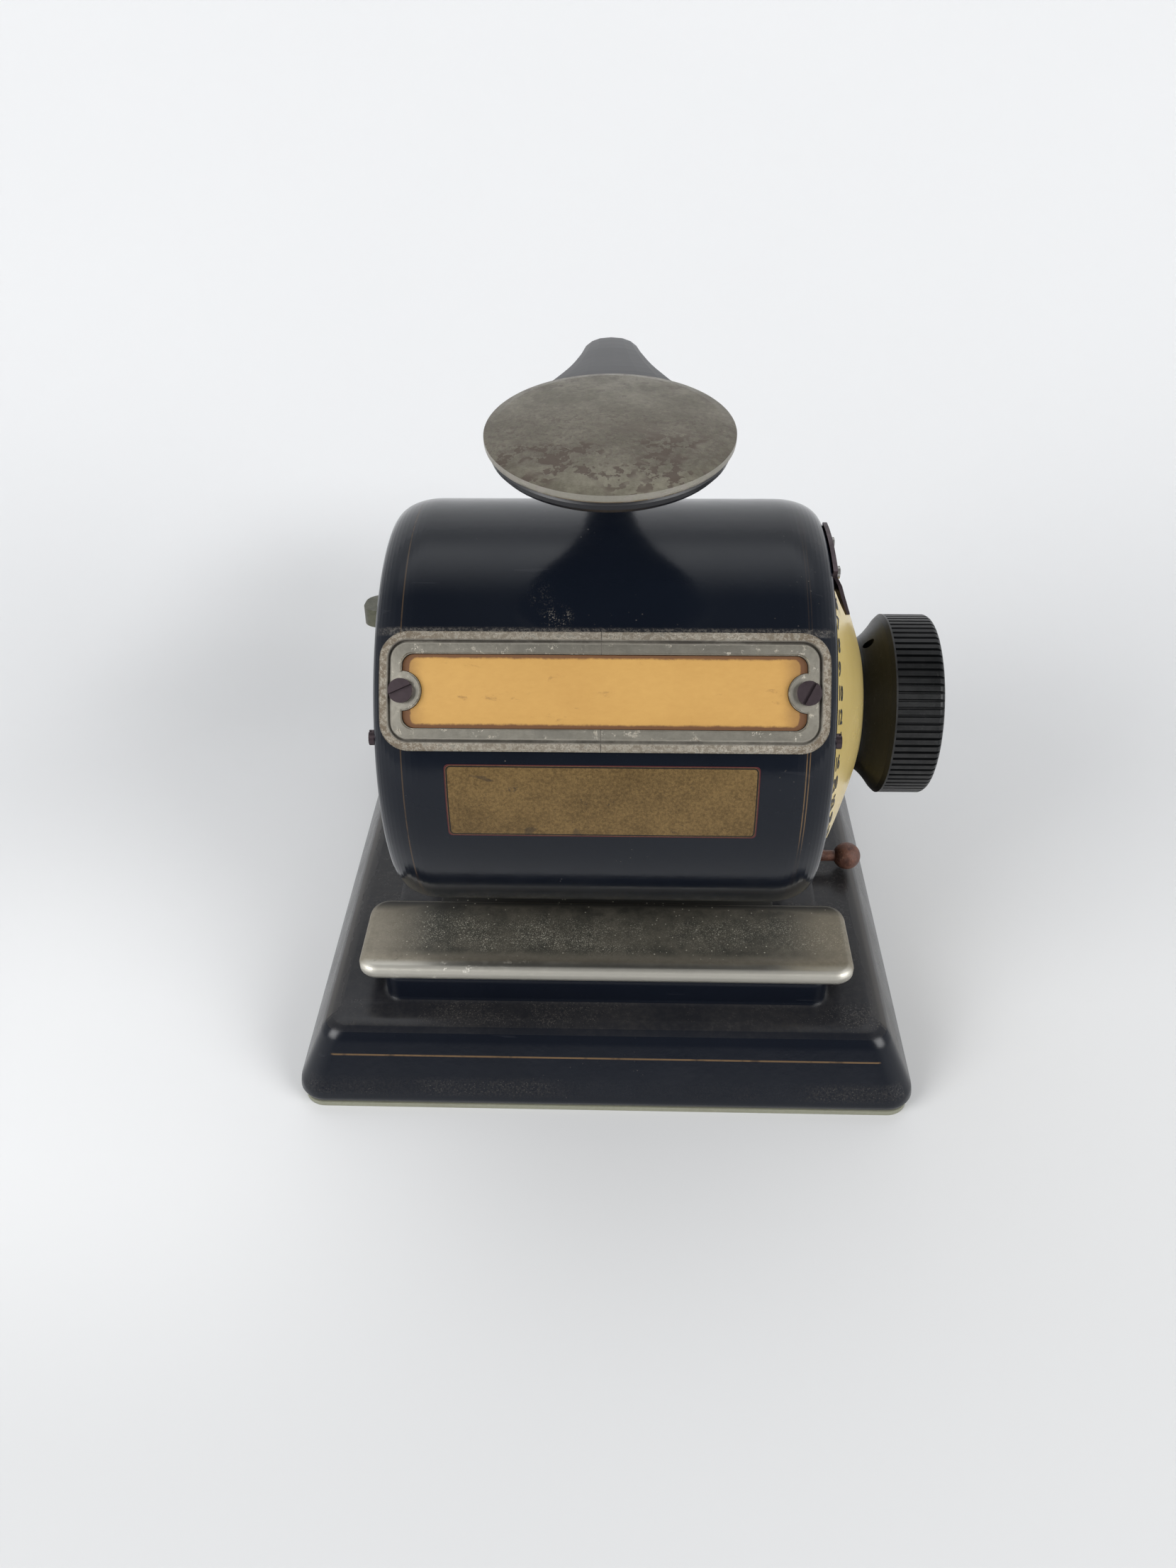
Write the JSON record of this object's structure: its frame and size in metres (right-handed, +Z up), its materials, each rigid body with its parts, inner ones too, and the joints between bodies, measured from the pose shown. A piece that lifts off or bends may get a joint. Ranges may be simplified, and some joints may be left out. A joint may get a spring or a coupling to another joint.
{
  "type": "check protector",
  "caption": "Desk check protector: a knob-turned cylinder of raised lines in a lacquered drum over a nickel table, worked by a palm lever on a bevelled base.",
  "frame": {"origin": "centre of the felt's underside, on the desk", "axes": "+Z up, +Y from the table's front edge towards the lever's pivot, +X towards the knob along the drum's axis"},
  "size_m": [0.16, 0.17, 0.1744],
  "materials": {
    "lacquer_black": "black baking lacquer, glossy on the slopes, dusty on the flats",
    "drum_lacquer": "blue-black lacquer, high gloss, fine scratches and dust",
    "felt": "pale cream-green felt",
    "plain_steel": "plain machined steel",
    "table_nickel": "worn nickel, dusty in the middle, bright at the edge",
    "blued_steel": "darkened steel",
    "brass": "plain brass",
    "plate_nickel": "aged nickel with golden brown patches",
    "card": "aged orange-cream paper, browned at the edges",
    "gold_transfer": "worn gold transfer",
    "type_metal": "type metal",
    "celluloid": "cream-yellow celluloid",
    "hard_rubber": "black hard rubber",
    "tab_nickel": "dull grey-green nickel",
    "lever_paint": "satin black paint, greyed by dust",
    "pad_nickel": "mottled olive-grey nickel with brown spots",
    "strip_rubber": "hard black rubber",
    "ink_felt": "inked felt",
    "rusty_steel": "rusted reddish-brown steel"
  },
  "bodies": {
    "root": {"base_casting": "lacquer_black", "base_felt": "felt", "bottom_cover": "plain_steel", "cover_screws": "plain_steel", "check_table": "table_nickel", "table_screws": "plain_steel", "pedestal": "lacquer_black", "pedestal_bolts": "plain_steel", "drum_housing": "drum_lacquer", "housing_screws": "plain_steel", "left_end_plate": "lacquer_black", "right_end_plate": "lacquer_black", "end_plate_screws": "blued_steel", "left_bush": "brass", "right_bush": "brass", "nameplate_frame": "plate_nickel", "nameplate_card": "card", "nameplate_screws": "blued_steel", "gold_label": "gold_transfer", "pointer": "blued_steel", "pointer_screws": "plain_steel", "index_stud": "plain_steel", "pivot_rod": "plain_steel", "pivot_spacers": "brass", "lever_spring": "plain_steel", "ink_axle": "plain_steel", "ink_brackets": "brass"},
    "cylinder": {"main_shaft": "plain_steel", "type_cylinder": "type_metal", "index_wheel": "brass", "shaft_collar": "plain_steel", "dial": "celluloid", "knob": "hard_rubber", "knob_set_screw": "plain_steel"},
    "index": {"index_arm": "tab_nickel"},
    "lever": {"press_lever": "lever_paint", "palm_pad": "pad_nickel", "drive_pin": "plain_steel"},
    "bar": {"draw_bar": "plain_steel"},
    "platen": {"platen_bar": "plain_steel", "platen_strip": "strip_rubber"},
    "inker": {"ink_roller": "ink_felt"},
    "catch": {"catch_pin": "rusty_steel", "catch_ball": "rusty_steel", "catch_collar": "plain_steel"}
  },
  "joints": [
    {"name": "cylinder_spin", "type": "hinge", "parent": "root", "child": "cylinder", "pos_m": [0, -0.0263, 0.0889], "axis": [1, 0, 0], "continuous": true},
    {"name": "index_lift", "type": "hinge", "parent": "root", "child": "index", "pos_m": [0, -0.00444, 0.11687], "axis": [-1, 0, 0], "range_deg": [-2.3, 3], "stiffness_Nm_per_rad": 0.2, "springref_deg": -11.46},
    {"name": "lever_press", "type": "hinge", "parent": "root", "child": "lever", "pos_m": [0, 0.04, 0.062], "axis": [1, 0, 0], "range_deg": [0, 14], "stiffness_Nm_per_rad": 2.5, "springref_deg": -20.05, "deforming": ["lever_spring"]},
    {"name": "bar_draw", "type": "slide", "parent": "root", "child": "bar", "axis": [0, 1, 0], "range_m": [0, 0.0128]},
    {"name": "platen_lift", "type": "slide", "parent": "root", "child": "platen", "axis": [0, 0, 1], "range_m": [0, 0.0126]},
    {"name": "inker_spin", "type": "hinge", "parent": "root", "child": "inker", "pos_m": [0, 0.01193, 0.05682], "axis": [1, 0, 0], "continuous": true},
    {"name": "catch_slide", "type": "slide", "parent": "root", "child": "catch", "axis": [1, 0, 0], "range_m": [0, 0.004]}
  ],
  "couplings": [
    {"joint": "bar_draw", "follows": "lever_press", "m_per_rad": 0.052},
    {"joint": "platen_lift", "follows": "lever_press", "m_per_rad": 0.05116},
    {"joint": "inker_spin", "follows": "cylinder_spin", "ratio": -5.8356}
  ]
}
